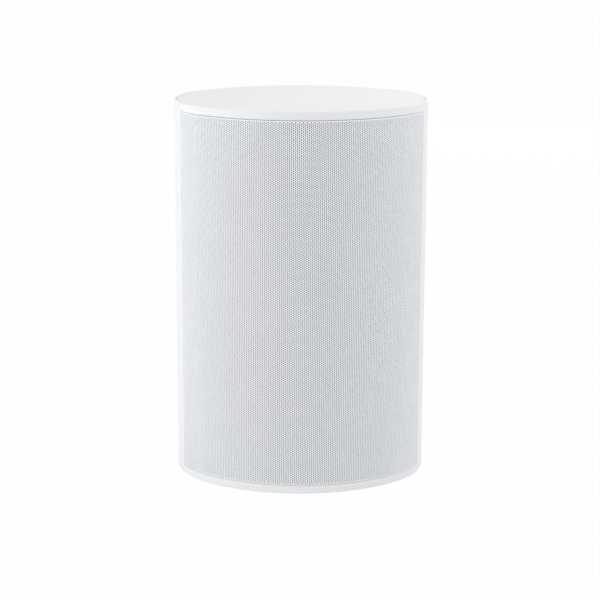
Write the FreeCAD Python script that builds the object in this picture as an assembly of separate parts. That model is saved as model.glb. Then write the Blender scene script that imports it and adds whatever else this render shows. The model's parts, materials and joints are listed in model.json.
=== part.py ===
"""Compact two-way speaker: an oval moulded cabinet with a curved perforated front.

Millimetres. X to the right, Y to the back, Z up. The origin lies under the middle, where the feet rest.
"""
import FreeCAD
import Part
import math
import os

# Overall oval
width = 132.0
depth = 106.0
height = 200.0
side_radius = 45.0  # the rounder left and right ends of the oval

# Clearances
bond = 0.05  # glue line or push fit
slip = 0.15  # parts that slide in
clear = 0.3  # parts that stay apart
over = 1.0  # how far a cut runs past a face

# Cabinet shell and front window
wall = 3.0
floor = 3.0
foot_proud = 1.2
top_band = 4.5
bottom_band = 4.3
window_side = 18.1  # from the middle plane forward to the window's upright edges
edge_round = 0.6

# Top cover
cover_thick = 2.5
cover_rim = 1.2
cover_gap = 0.2
skirt_drop = 5.0
skirt_wall = 2.0
lip_drop = 8.5

# Front grille and its carrier
grille_recess = 0.05
grille_gap = 0.3
grille_rest = 0.15  # gap under the grille, which sits low in its window
grille_sheet = 0.5
grille_hem = 2.4
frame_thick = 3.0
frame_rail = 6.0
frame_side = 7.0
cloth_thick = 0.4
pin_radius = 2.0
pin_past = 1.0  # how far a pin comes out behind the baffle
pin_edge = 11.0  # from the end of the flat baffle face to a pin
grommet_wall = 1.8
grommet_lip = 0.8

# Baffle
baffle_setback = 25.0  # from the front of the oval to the flat baffle face
baffle_wall = 3.0
baffle_seal = 1.0
ledge_thick = 4.0
ledge_behind = 6.6  # from the window's upright edges back to the ledge
ledge_margin = 4.5
rail_height = 8.0
baffle_screw_end = 13.0
screw_edge = 1.0

# Screws, each with a domed head
screw_radius = 1.5
head_radius = 2.8
head_height = 1.8
boss_wall = 2.0
small_screw_radius = 1.2
small_head_radius = 2.2

# Woofer, depths taken from the back of its flange
driver_seal = 0.8
driver_margin = 3.0
screws_per_driver = 4
first_screw_angle = 45.0
woofer_radius = 43.5
woofer_ear = 5.0
ear_overlap = 2.0
flange_thick = 2.5
basket_depth = 17.0
basket_wall = 1.6
basket_base = 25.0
basket_windows = 6
window_width = 24.0
shelf_depth = 12.6
shelf_inner = 24.0
tag_reach = 35.0
tag_height = 9.0
cone_radius = 33.8
cone_rim = 2.0
cone_sheet = 0.9
cone_depth = 12.0
cone_flare = 1.2
roll_radius = 2.4
roll_overlap = 0.4
lip_margin = 1.0
roll_sheet = 0.6
cap_radius = 15.5
cap_height = 3.6
cap_sheet = 0.5
coil_radius = 12.35
former_wall = 0.3
winding = 0.4
winding_length = 9.0
coil_room = 1.0
magnet_gap = 0.35
pole_gap = 0.75
plate_thick = 4.0
plate_radius = 26.0
magnet_radius = 30.0
magnet_bore = 15.5
magnet_thick = 11.0
yoke_taper = 1.0
spider_rolls = 3
spider_sheet = 0.6
spider_wave = 1.0

# Tweeter, depths taken from the back of its faceplate
tweeter_radius = 26.0
tweeter_plate = 3.0
tweeter_flare = 4.0
dome_radius = 12.6
dome_height = 4.2
dome_roll = 1.35
dome_sheet = 0.4
dome_flange = 1.2
tweeter_cup_wall = 3.4
tweeter_pole = 2.5
tweeter_air = 1.4  # from the faceplate back to the pole
tweeter_magnet_thick = 6.0
tweeter_collar = 7.0
collar_wall = 2.0
drivers_apart = 12.0

# Rear connection panel in its pocket
panel_width = 58.0
panel_height = 74.0
panel_low = 11.0  # from the inner floor up to the panel
panel_recess = 9.0
panel_thick = 2.5
panel_seal = 0.6
pocket_wall = 2.5
seat_width = 5.0
seat_thick = 2.5
panel_corner = 2.0

# Keys on the panel
key_width = 8.0
key_height = 5.0
key_corner = 2.0
key_proud = 1.0
key_pitch = 11.0
key_travel = 0.8
key_flange = 0.8
key_top = 20.0  # from the panel's top edge down to the row of keys
stem_radius = 1.5
switch_size = 6.0
switch_height = 2.0
plunger_height = 0.5

# Sockets on the panel
inlet_width = 15.2
inlet_height = 7.6
inlet_wall = 2.4
inlet_lip = 2.0
inlet_lip_thick = 1.2
inlet_depth = 10.0
inlet_body = 19.0
inlet_up = 13.0  # from the panel's bottom edge
contact_radius = 1.2
contact_pitch = 8.6
contact_tag = 3.0
contact_inset = 1.5
socket_up = 39.0
socket_edge = 16.0  # from the panel's side edge in to a socket's middle
network_width = 16.0
network_height = 13.5
network_mouth_width = 11.8
network_mouth_height = 8.0
network_latch = 3.2
network_wall = 1.2
jack_body_width = 12.0
jack_body_height = 9.0
jack_nose = 4.0
jack_bore = 1.8
jack_bore_depth = 11.0

# Amplifier board behind the panel
standoff = 9.5
standoff_radius = 3.0
board_thick = 1.6
board_low = 21.0
board_edge = 3.5
board_gap = 1.0  # beside the board to the panel seat
wire_lane = 4.4  # kept free along the board's side edges
board_hole_edge = 3.2
sink_height = 10.0
sink_base = 2.0
sink_fins = 8
fin_thick = 1.4
part_tall = 8.5
parts_apart = 1.0
module_thick = 1.0
module_height = 16.0
can_margin = 1.5
can_thick = 2.2
capacitor_radius = 4.0
inductor_size = 9.0
inductor_tall = 6.0

# Power board on the floor
power_width = 72.0
power_depth = 32.0
power_post = 4.0
power_back = 3.0  # behind the board to the panel seat
transformer_width = 18.0
transformer_depth = 16.0
transformer_tall = 15.0
core_leg = 3.0
mains_capacitor_radius = 6.0
mains_capacitor_tall = 15.0
wire_radius = 0.8
wire_pitch = 3.0
inner_bend = 10.0  # from the tweeter's cup back to its wires' bend

# Bass-reflex port and bracket insert in the back wall
port_bore = 13.0
port_wall = 2.0
port_flare = 5.0
port_length = 42.0
port_flange = 4.0
insert_bore = 2.55
insert_wall = 2.0
insert_length = 10.0
insert_inset = 0.6
groove_depth = 0.6
insert_boss_wall = 3.0
back_margin = 5.0

# Damping pads and feet
pad_thick = 7.5
pad_front = 3.0
pad_back = 30.0
foot_radius = 7.0
foot_pocket = 1.0
foot_x = 36.0
foot_y = 26.0

# Worked out from the sizes above
half_width = width / 2
half_depth = depth / 2
end_centre = half_width - side_radius
face_radius = (end_centre**2 + half_depth**2 - side_radius**2) / (2 * (half_depth - side_radius))
face_centre = face_radius - half_depth
floor_top = foot_proud + floor
cover_under = height - cover_thick
window_low = foot_proud + bottom_band
window_high = height - top_band

grille_side = -window_side - grille_gap
grille_low = window_low + grille_rest
grille_high = window_high - grille_gap
grille_inner = grille_recess + grille_sheet
baffle_inset = grille_inner + bond + frame_thick + slip
baffle_front = baffle_setback - half_depth
baffle_low = floor_top + clear
baffle_high = cover_under - clear
ledge_front = ledge_behind - window_side
baffle_rim = ledge_front - baffle_seal
flat_half = end_centre + math.sqrt((side_radius - baffle_inset) ** 2 - baffle_front**2)
baffle_screw_x = flat_half - head_radius - screw_edge
ledge_inner = baffle_screw_x - ledge_margin
pin_x = flat_half - pin_edge

driver_face = baffle_front - driver_seal
woofer_z = baffle_low + baffle_wall + driver_margin + woofer_radius
ear_reach = woofer_radius + woofer_ear - ear_overlap
basket_mouth = cone_radius + 2 * roll_radius - roll_overlap
winding_outer = coil_radius + former_wall + winding
plate_front = basket_depth + basket_wall
magnet_front = plate_front + plate_thick
yoke_front = magnet_front + magnet_thick
winding_mid = plate_front + plate_thick / 2
woofer_back = driver_face + yoke_front + plate_thick
tag_back = driver_face + shelf_depth + basket_wall
tweeter_z = woofer_z + woofer_radius + drivers_apart + tweeter_radius
dome_outer = dome_radius + 2 * dome_roll
cup_outer = dome_outer + dome_flange
collar_inner = cup_outer + bond
tweeter_screw_reach = (collar_inner + collar_wall + tweeter_radius) / 2
baffle_screw_heights = (
    baffle_low + baffle_screw_end,
    woofer_z + woofer_radius + drivers_apart / 2,
    baffle_high - baffle_screw_end,
)

panel_face = half_depth - panel_recess
panel_back = panel_face - panel_thick
seat_front = panel_back - panel_seal
seat_back = seat_front - seat_thick
panel_bottom = floor_top + panel_low
panel_top = panel_bottom + panel_height
pocket_half = panel_width / 2 + clear
seat_half = pocket_half - seat_width
panel_screw_x = panel_width / 2 - seat_width / 2
panel_screw_heights = (
    panel_bottom + seat_width / 2,
    (panel_bottom + panel_top) / 2,
    panel_top - seat_width / 2,
)
key_z = panel_top - key_top
key_places = {
    "power_key": -1.5 * key_pitch,
    "pairing_key": -0.5 * key_pitch,
    "volume_down_key": 0.5 * key_pitch,
    "volume_up_key": 1.5 * key_pitch,
}
inlet_z = panel_bottom + inlet_up
inlet_inner = panel_face - inlet_body
socket_z = panel_bottom + socket_up
socket_side = panel_width / 2 - socket_edge

board_back = panel_back - standoff
board_front = board_back - board_thick
board_half = seat_half - board_gap
parts_half = board_half - wire_lane
board_bottom = panel_bottom + board_low
board_top = panel_top - seat_width - board_edge
board_holes = [
    (side * (board_half - board_hole_edge), z)
    for side in (-1, 1)
    for z in (board_bottom + board_hole_edge, board_top - board_hole_edge)
]
power_z = floor_top + power_post
power_y1 = seat_back - power_back
power_y0 = power_y1 - power_depth
power_holes = [
    (side * (power_width / 2 - board_hole_edge), y)
    for side in (-1, 1)
    for y in (power_y0 + board_hole_edge, power_y1 - board_hole_edge)
]
insert_outer = insert_bore + insert_wall
insert_boss = insert_outer + insert_boss_wall
insert_z = panel_top + pocket_wall + back_margin + insert_boss
port_mouth = port_bore + port_flare
port_z = insert_z + insert_boss + back_margin + port_mouth + port_flange
foot_places = {
    "foot_front_left": (-foot_x, -foot_y),
    "foot_front_right": (foot_x, -foot_y),
    "foot_back_left": (-foot_x, foot_y),
    "foot_back_right": (foot_x, foot_y),
}


# Shapes that the pieces are made from

def vector(x, y, z):
    return FreeCAD.Vector(x, y, z)


def box(x0, x1, y0, y1, z0, z1):
    return Part.makeBox(x1 - x0, y1 - y0, z1 - z0, vector(x0, y0, z0))


def joined(first, *others):
    return first.fuse(list(others)).removeSplitter()


def group(solids):
    return Part.makeCompound(list(solids))


def oval_wire(inset, z):
    """The cabinet's outline drawn in by inset: four arcs that meet without a corner."""
    end = side_radius - inset
    across = end_centre / (face_radius - side_radius)
    along = face_centre / (face_radius - side_radius)
    x, y = end_centre + end * across, end * along
    tip, front = half_width - inset, half_depth - inset
    arcs = (
        Part.Arc(vector(x, -y, z), vector(tip, 0, z), vector(x, y, z)),
        Part.Arc(vector(x, y, z), vector(0, front, z), vector(-x, y, z)),
        Part.Arc(vector(-x, y, z), vector(-tip, 0, z), vector(-x, -y, z)),
        Part.Arc(vector(-x, -y, z), vector(0, -front, z), vector(x, -y, z)),
    )
    return Part.Wire([arc.toShape() for arc in arcs])


def oval(inset, z0, z1):
    return Part.Face(oval_wire(inset, z0)).extrude(vector(0, 0, z1 - z0))


def oval_ring(outer, inner, z0, z1):
    return oval(outer, z0, z1).cut(oval(inner, z0, z1))


def rod(radius, x, z, y0, y1):
    """A round bar along Y."""
    return Part.makeCylinder(radius, y1 - y0, vector(x, y0, z), vector(0, 1, 0))


def post(radius, x, y, z0, z1):
    """A round bar along Z."""
    return Part.makeCylinder(radius, z1 - z0, vector(x, y, z0))


def tube(outer, inner, x, z, y0, y1):
    return rod(outer, x, z, y0, y1).cut(rod(inner, x, z, y0, y1))


def rounded(x, z, wide, high, corner, y0, y1):
    """A block along Y with four rounded upright corners, as a key or a socket has."""
    block = box(x - wide / 2, x + wide / 2, y0, y1, z - high / 2, z + high / 2)
    long_edges = [e for e in block.Edges if abs(e.tangentAt(e.FirstParameter).y) > 0.9]
    return block.makeFillet(corner, long_edges)


def turned(outline, face, z, x=0.0):
    """A closed outline of (radius, depth) turned about an axis along Y.

    A pair of points in place of one is an arc: a point on the way, then its end.
    """
    def place(point):
        return vector(x + point[0], face + point[1], z)

    edges = []
    start = outline[0]
    for step in outline[1:] + outline[:1]:
        if isinstance(step[0], tuple):
            middle, end = step
            edges.append(Part.Arc(place(start), place(middle), place(end)).toShape())
        else:
            end = step
            edges.append(Part.LineSegment(place(start), place(end)).toShape())
        start = end
    return Part.Face(Part.Wire(edges)).revolve(vector(x, face, z), vector(0, 1, 0), 360)


def turned_ring(inner, outer, depth0, depth1, z):
    return tube(outer, inner, 0, z, driver_face + depth0, driver_face + depth1)


def around(reach, z):
    """Places of a driver's screws, evenly spaced on a circle round its axis."""
    step = 360.0 / screws_per_driver
    angles = [math.radians(first_screw_angle + i * step) for i in range(screws_per_driver)]
    return [(reach * math.cos(a), z + reach * math.sin(a)) for a in angles]


def cap_sag(radius, rise, at):
    """How far a round cap of this radius and rise has fallen from its crown at a smaller radius."""
    ball = (radius**2 + rise**2) / (2 * rise)
    return ball - math.sqrt(ball**2 - at**2)


def screw(x, z, seat, length, way, radius, head):
    """A screw along Y, with its head on the plane y = seat and its shank going the given way."""
    rise = head_height / 2
    half_sag = cap_sag(head, rise, head / 2)
    outline = [
        (0, -way * head_height),
        ((head / 2, way * (half_sag - head_height)), (head, way * (rise - head_height))),
        (head, 0),
        (radius, 0),
        (radius, way * length),
        (0, way * length),
    ]
    return turned(outline, seat, z, x)


def wire_run(points, radius):
    """A wire along straight runs, with arcs as wide as the runs allow."""
    places = [vector(*p) for p in points]
    edges = []
    start = places[0]
    for before, corner, after in zip(places, places[1:], places[2:]):
        back, ahead = before - corner, after - corner
        reach = 0.45 * min(back.Length, ahead.Length)
        back.normalize()
        ahead.normalize()
        first, last = corner + back * reach, corner + ahead * reach
        bisector = back + ahead
        bisector.normalize()
        half_turn = (math.pi - back.getAngle(ahead)) / 2
        bend = reach / math.tan(half_turn)
        middle = corner + bisector * (bend / math.cos(half_turn) - bend)
        edges.append(Part.LineSegment(start, first).toShape())
        edges.append(Part.Arc(first, middle, last).toShape())
        start = last
    edges.append(Part.LineSegment(start, places[-1]).toShape())
    heading = (places[1] - places[0]).normalize()
    section = Part.Wire(Part.Circle(places[0], heading, radius).toShape())
    return Part.Wire(edges).makePipeShell([section], True, True)


# Cabinet, cover and feet

def window_zone():
    """The space that the front window opens in the cabinet."""
    return box(-half_width, half_width, -half_depth - over, -window_side, window_low, window_high)


def grille_zone(inner=0.0):
    """The space that the grille fills in the window, drawn in all round by a sheet or more."""
    return box(
        -half_width, half_width, -half_depth - over, grille_side - inner,
        grille_low + inner, grille_high - inner,
    )


def baffle_ledge():
    """The flange that the baffle is screwed to: two uprights and a rail along the floor."""
    back = ledge_front + ledge_thick
    bodies = []
    for side in (-1, 1):
        near, far = sorted((side * ledge_inner, side * half_width))
        upright = box(near, far, ledge_front, back, floor_top - floor / 2, cover_under - clear)
        bodies.append(upright.common(oval(wall / 2, 0, height)))
    rail = box(-ledge_inner, ledge_inner, ledge_front, back, floor_top - floor / 2, floor_top + rail_height)
    return bodies + [rail]


def panel_pocket():
    """The sunk box in the back wall that takes the connection panel, with a seat round its floor."""
    outer = box(
        -pocket_half - pocket_wall, pocket_half + pocket_wall, seat_back, half_depth,
        panel_bottom - clear - pocket_wall, panel_top + clear + pocket_wall,
    )
    bosses = [
        rod(small_screw_radius + boss_wall, side * panel_screw_x, z, seat_back - seat_thick, seat_front)
        for side in (-1, 1)
        for z in panel_screw_heights
    ]
    return [outer.common(oval(wall / 2, 0, height))] + bosses


def panel_pocket_space():
    mouth = box(
        -pocket_half, pocket_half, seat_front, half_depth + over, panel_bottom - clear, panel_top + clear
    )
    inside = box(
        -seat_half, seat_half, seat_back - over, half_depth,
        panel_bottom - clear + seat_width, panel_top + clear - seat_width,
    )
    holes = [
        rod(small_screw_radius + bond, side * panel_screw_x, z, seat_back - seat_thick - over, half_depth)
        for side in (-1, 1)
        for z in panel_screw_heights
    ]
    return [mouth, inside] + holes


def cabinet():
    shell = oval(0, foot_proud, height)
    rims = [e for e in shell.Edges if abs(e.BoundBox.ZMax - e.BoundBox.ZMin) < 0.01]
    shell = shell.makeFillet(edge_round, rims)
    shell = shell.cut(oval(wall, floor_top, height + over))
    shell = shell.cut(oval(cover_rim, cover_under, height + over))
    shell = shell.cut(window_zone())
    insert_front = half_depth - insert_inset - insert_length
    insert_body = rod(insert_boss, 0, insert_z, insert_front - over, half_depth)
    posts = [post(standoff_radius, x, y, floor_top - floor / 2, power_z) for x, y in power_holes]
    shell = joined(
        shell, *baffle_ledge(), *panel_pocket(),
        insert_body.common(oval(wall / 2, 0, height)), *posts,
    )
    spaces = panel_pocket_space()
    spaces.append(rod(port_mouth + slip, 0, port_z, 0, half_depth + over))
    spaces.append(rod(insert_outer + bond, 0, insert_z, insert_front, half_depth + over))
    ledge_back = ledge_front + ledge_thick
    spaces += [
        rod(screw_radius + bond, side * baffle_screw_x, z, ledge_front - over, ledge_back + over)
        for side in (-1, 1)
        for z in baffle_screw_heights
    ]
    spaces += [post(small_screw_radius + bond, x, y, floor_top, power_z + over) for x, y in power_holes]
    spaces += [
        post(foot_radius + slip, x, y, foot_proud - over, foot_proud + foot_pocket)
        for x, y in foot_places.values()
    ]
    return shell.cut(spaces)


def top_cover():
    """A flat plate in the cabinet's rim, with a skirt behind and a lip that holds the baffle's gasket."""
    plate = oval(cover_rim + cover_gap, cover_under, height)
    skirt = oval_ring(wall + clear, wall + clear + skirt_wall, cover_under - skirt_drop, cover_under)
    back = ledge_front + ledge_thick
    skirt = skirt.common(box(-half_width, half_width, back + clear, half_depth, 0, height))
    lip = box(
        clear - ledge_inner, ledge_inner - clear, ledge_front, back, cover_under - lip_drop, cover_under
    )
    return joined(plate, skirt, lip)


def foot(x, y):
    return post(foot_radius, x, y, 0, foot_proud + foot_pocket)


# Grille, its carrier frame, cloth and grommets

def front_grille():
    """A rolled sheet with its four edges turned in as a hem."""
    deep = oval_ring(grille_recess, grille_recess + grille_hem, 0, height).common(grille_zone())
    inside = oval(grille_inner, 0, height).common(grille_zone(grille_sheet))
    return deep.cut(inside)


def pin_places():
    rail_low = grille_low + grille_sheet + bond + frame_rail / 2
    rail_high = grille_high - grille_sheet - bond - frame_rail / 2
    return [(side * pin_x, z) for side in (-1, 1) for z in (rail_low, rail_high)]


def grille_frame():
    """A curved carrier behind the grille's edges, with four pins that push into the baffle."""
    edge = grille_sheet + bond
    ring = oval_ring(grille_inner + bond, baffle_inset - slip, 0, height)
    ring = ring.common(grille_zone(edge))
    opening = box(
        -half_width, half_width, -half_depth - over, grille_side - edge - frame_side,
        grille_low + edge + frame_rail, grille_high - edge - frame_rail,
    )
    ring = ring.cut(opening)
    inside = oval(grille_inner + bond + frame_thick / 2, 0, height)
    pins = [
        rod(pin_radius, x, z, -half_depth, baffle_front + baffle_wall + pin_past).common(inside)
        for x, z in pin_places()
    ]
    return joined(ring, *pins)


def grille_cloth():
    edge = grille_sheet + 2 * bond
    zone = box(
        -half_width, half_width, -half_depth - over, grille_side - edge - frame_side - slip,
        grille_low + edge + frame_rail + slip, grille_high - edge - frame_rail - slip,
    )
    inset = grille_inner + bond
    return oval_ring(inset, inset + cloth_thick, 0, height).common(zone)


def grille_grommets():
    def grommet(x, z):
        hole = pin_radius + bond
        sleeve = tube(hole + grommet_wall, hole, x, z, baffle_front, baffle_front + baffle_wall)
        lip = tube(hole + grommet_wall + grommet_lip, hole, x, z, baffle_front - grommet_lip, baffle_front)
        return joined(sleeve, lip)

    return group(grommet(x, z) for x, z in pin_places())


# Baffle

def baffle_screw_places():
    return [(side * baffle_screw_x, z) for side in (-1, 1) for z in baffle_screw_heights]


def woofer_screw_places():
    return around(ear_reach, woofer_z)


def tweeter_screw_places():
    return around(tweeter_screw_reach, tweeter_z)


def baffle():
    """A moulded cap with a flat face for the drivers and side walls that follow the grille."""
    inner_face = baffle_front + baffle_wall
    cap = oval(baffle_inset, baffle_low, baffle_high)
    cap = cap.common(box(-half_width, half_width, baffle_front, baffle_rim, 0, height))
    hollow = oval(baffle_inset + baffle_wall, baffle_low + baffle_wall, baffle_high - baffle_wall)
    cap_body = cap.cut(hollow.common(box(-half_width, half_width, inner_face, half_depth, 0, height)))
    bosses = [
        rod(screw_radius + boss_wall, x, z, inner_face, baffle_rim).common(cap)
        for x, z in baffle_screw_places()
    ]
    bosses += [
        rod(screw_radius + boss_wall, x, z, inner_face, inner_face + baffle_wall)
        for x, z in woofer_screw_places() + tweeter_screw_places()
    ]
    cap_body = joined(cap_body, *bosses)
    spaces = [
        rod(basket_mouth + basket_wall + clear, 0, woofer_z, baffle_front - over, half_depth),
        rod(collar_inner + collar_wall + clear, 0, tweeter_z, baffle_front - over, half_depth),
    ]
    spaces += [
        rod(screw_radius + slip, x, z, baffle_front - over, half_depth) for x, z in baffle_screw_places()
    ]
    spaces += [
        rod(screw_radius + bond, x, z, baffle_front - over, inner_face + baffle_wall - over)
        for x, z in woofer_screw_places() + tweeter_screw_places()
    ]
    grommet_hole = pin_radius + bond + grommet_wall + bond
    spaces += [rod(grommet_hole, x, z, baffle_front - over, inner_face + over) for x, z in pin_places()]
    return cap_body.cut(spaces)


def baffle_gasket():
    half = end_centre + math.sqrt((side_radius - baffle_inset) ** 2 - baffle_rim**2)
    inner = end_centre + math.sqrt((side_radius - baffle_inset - baffle_wall) ** 2 - baffle_rim**2)
    outside = box(-half, half, baffle_rim, ledge_front, baffle_low, baffle_high)
    inside = box(
        -inner, inner, baffle_rim, ledge_front, baffle_low + baffle_wall, baffle_high - baffle_wall
    )
    return outside.cut(inside)


def baffle_screws():
    length = ledge_front + ledge_thick - baffle_front
    places = baffle_screw_places()
    return group(screw(x, z, baffle_front, length, 1, screw_radius, head_radius) for x, z in places)


# Woofer

def woofer_flange(depth0, depth1):
    """The round flange with four ears for its screws."""
    disc = rod(woofer_radius, 0, woofer_z, driver_face + depth0, driver_face + depth1)
    ears = [
        rod(woofer_ear, x, z, driver_face + depth0, driver_face + depth1)
        for x, z in woofer_screw_places()
    ]
    return joined(disc, *ears)


def woofer_screw_holes():
    return [
        rod(screw_radius + slip, x, z, driver_face - flange_thick - over, baffle_front + over)
        for x, z in woofer_screw_places()
    ]


def basket_radius(at_depth):
    """The outer radius of the basket's tapering wall."""
    mouth = basket_mouth + basket_wall
    return mouth + (basket_base - mouth) * at_depth / basket_depth


def woofer_basket():
    flange = woofer_flange(-flange_thick, 0)
    mouth = basket_mouth + basket_wall
    cup = turned(
        [
            (basket_mouth, -flange_thick),
            (mouth, -flange_thick),
            (mouth, 0),
            (basket_base, basket_depth),
            (basket_base, plate_front),
            (winding_outer + coil_room, plate_front),
            (winding_outer + coil_room, basket_depth),
            (basket_base - basket_wall, basket_depth),
            (basket_mouth, 0),
        ],
        driver_face, woofer_z,
    )
    shelf = turned(
        [
            (shelf_inner, shelf_depth),
            (basket_radius(shelf_depth) - basket_wall / 2, shelf_depth),
            (basket_radius(shelf_depth + basket_wall) - basket_wall / 2, shelf_depth + basket_wall),
            (shelf_inner, shelf_depth + basket_wall),
        ],
        driver_face, woofer_z,
    )
    tags = box(
        -tag_reach, -shelf_inner, driver_face + shelf_depth, tag_back,
        woofer_z - tag_height / 2, woofer_z + tag_height / 2,
    )
    tags = tags.cut(rod(shelf_inner, 0, woofer_z, -half_depth, half_depth))
    bore = rod(basket_mouth, 0, woofer_z, driver_face - flange_thick - over, driver_face)
    body = joined(flange.cut([bore] + woofer_screw_holes()), cup, shelf, tags)
    windows = []
    for i in range(basket_windows):
        opening = box(
            -window_width / 2, window_width / 2,
            driver_face + basket_wall, driver_face + shelf_depth - basket_wall,
            woofer_z + shelf_inner, woofer_z + woofer_radius,
        )
        axis = vector(0, 1, 0)
        windows.append(opening.rotate(vector(0, 0, woofer_z), axis, 360.0 * i / basket_windows))
    return body.cut(windows)


def woofer_gasket():
    ring = woofer_flange(0, driver_seal)
    bore = rod(basket_mouth + basket_wall + slip, 0, woofer_z, driver_face - over, driver_face + driver_seal)
    return ring.cut([bore] + woofer_screw_holes())


def woofer_surround():
    """A half-round roll between two flat lips, glued to the flange and to the cone's rim."""
    face = -flange_thick
    middle = cone_radius + roll_radius
    outer = cone_radius + 2 * roll_radius
    inner_roll = roll_radius - roll_sheet
    lip = woofer_radius - lip_margin
    outline = [
        (cone_radius - cone_rim, face),
        (cone_radius - cone_rim, face - roll_sheet),
        (cone_radius, face - roll_sheet),
        ((middle, face - roll_sheet - roll_radius), (outer, face - roll_sheet)),
        (lip, face - roll_sheet),
        (lip, face),
        (outer - roll_sheet, face),
        (outer - roll_sheet, face - roll_sheet),
        ((middle, face - roll_sheet - inner_roll), (cone_radius + roll_sheet, face - roll_sheet)),
        (cone_radius + roll_sheet, face),
    ]
    return turned(outline, driver_face, woofer_z)


def cone_depth_at(radius):
    """How deep the cone's front face lies at a radius, on a parabola close to its curved side."""
    rim = cone_radius - cone_rim
    neck = coil_radius + former_wall + bond
    share = (rim - radius) / (rim - neck)
    return cone_depth * share - flange_thick - 4 * cone_flare * share * (1 - share)


def woofer_cone():
    rim = cone_radius - cone_rim
    neck = coil_radius + former_wall + bond
    middle = (rim + neck) / 2
    face = -flange_thick
    outline = [
        (cone_radius, face),
        (rim, face),
        ((middle, cone_depth_at(middle)), (neck, face + cone_depth)),
        (neck, face + cone_depth + cone_sheet),
        ((middle, cone_depth_at(middle) + cone_sheet), (rim, face + cone_sheet)),
        (cone_radius, face + cone_sheet),
    ]
    return turned(outline, driver_face, woofer_z)


def woofer_dust_cap():
    edge = cone_depth_at(cap_radius) - clear - cap_sheet
    half = cap_radius / 2
    crown = edge - cap_height
    bulge = crown + cap_sag(cap_radius, cap_height, half)
    outline = [
        (0, crown),
        ((half, bulge), (cap_radius, edge)),
        (cap_radius, edge + cap_sheet),
        ((half, bulge + cap_sheet), (0, crown + cap_sheet)),
    ]
    return turned(outline, driver_face, woofer_z)


def woofer_spider():
    """A corrugated ring between the coil former and the basket's shelf."""
    inner = coil_radius + former_wall + winding / 2
    outer = basket_radius(shelf_depth) - basket_wall - clear
    back = shelf_depth
    front = back - spider_sheet
    pitch = (shelf_inner - coil_room - inner) / spider_rolls
    upper = [(inner, front)]
    lower = []
    for i in range(spider_rolls):
        start, way = inner + i * pitch, -1 if i % 2 == 0 else 1
        crest = (start + pitch / 2, front + way * spider_wave)
        upper.append((crest, (start + pitch, front)))
        lower.append(((crest[0], crest[1] + spider_sheet), (start, back)))
    last = (inner + spider_rolls * pitch, back)
    outline = upper + [(outer, front), (outer, back), last] + lower[::-1]
    return turned(outline, driver_face, woofer_z)


def woofer_voice_coil():
    """A thin former with its winding centred in the magnet's gap."""
    low = winding_mid + winding_length / 2
    former_front = cone_depth - flange_thick
    former = turned_ring(coil_radius, coil_radius + former_wall, former_front, low, woofer_z)
    coil = turned_ring(
        coil_radius + former_wall, winding_outer, winding_mid - winding_length / 2, low, woofer_z
    )
    return joined(former, coil)


def woofer_top_plate():
    return turned_ring(winding_outer + magnet_gap, plate_radius, plate_front, magnet_front, woofer_z)


def woofer_magnet():
    return turned_ring(magnet_bore, magnet_radius, magnet_front, yoke_front, woofer_z)


def woofer_yoke():
    """The back plate with its pole, bored through to vent the coil."""
    pole = coil_radius - pole_gap
    vent = pole / 3
    outline = [
        (vent, plate_front),
        (pole, plate_front),
        (pole, yoke_front),
        (plate_radius + yoke_taper, yoke_front),
        (plate_radius, yoke_front + plate_thick),
        (vent, yoke_front + plate_thick),
    ]
    return turned(outline, driver_face, woofer_z)


def driver_screws(places, flange):
    """Screws from the front of a driver's flange into the baffle's bosses."""
    seat = driver_face - flange
    length = flange + driver_seal + 2 * baffle_wall - 2 * over
    return group(screw(x, z, seat, length, 1, screw_radius, head_radius) for x, z in places)


def woofer_screws():
    return driver_screws(woofer_screw_places(), flange_thick)


# Tweeter

def tweeter_screw_holes():
    return [
        rod(screw_radius + slip, x, z, driver_face - tweeter_plate - over, baffle_front + over)
        for x, z in tweeter_screw_places()
    ]


def tweeter_faceplate():
    """A round plate with a shallow horn, and a collar behind it that holds the magnet cup."""
    collar_outer = collar_inner + collar_wall
    throat = dome_outer + bond
    outline = [
        (throat, -tweeter_plate / 3),
        (throat + tweeter_flare, -tweeter_plate),
        (tweeter_radius - edge_round, -tweeter_plate),
        (tweeter_radius, edge_round - tweeter_plate),
        (tweeter_radius, 0),
        (collar_outer, 0),
        (collar_outer, tweeter_collar),
        (collar_inner, tweeter_collar),
        (collar_inner, 0),
        (throat, 0),
    ]
    return turned(outline, driver_face, tweeter_z).cut(tweeter_screw_holes())


def tweeter_gasket():
    bore = collar_inner + collar_wall + slip
    return turned_ring(bore, tweeter_radius, 0, driver_seal, tweeter_z).cut(tweeter_screw_holes())


def tweeter_dome():
    """One pressed cloth piece: the dome, its half-round roll and the flange that clamps it."""
    front, back = bond, bond + dome_sheet
    roll = dome_radius + dome_roll
    crest = front - dome_roll
    half = dome_radius / 2
    crown = front - dome_height
    bulge = crown + cap_sag(dome_radius, dome_height, half)
    outline = [
        (0, crown),
        ((half, bulge), (dome_radius, front)),
        ((roll, crest), (dome_outer, front)),
        (dome_outer + dome_flange, front),
        (dome_outer + dome_flange, back),
        (dome_outer - dome_sheet, back),
        ((roll, crest + dome_sheet), (dome_radius + dome_sheet, back)),
        (dome_radius, back),
        ((half, bulge + dome_sheet), (0, crown + dome_sheet)),
    ]
    return turned(outline, driver_face, tweeter_z)


def tweeter_coil_radii():
    return dome_radius - dome_sheet, dome_radius


def tweeter_voice_coil():
    inner, outer = tweeter_coil_radii()
    front = 2 * bond + dome_sheet
    return turned_ring(inner, outer, front, front + tweeter_pole + tweeter_air, tweeter_z)


def tweeter_pole_disc():
    inner, _ = tweeter_coil_radii()
    front = tweeter_air
    radius = inner - magnet_gap
    return rod(radius, 0, tweeter_z, driver_face + front, driver_face + front + tweeter_pole)


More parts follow.
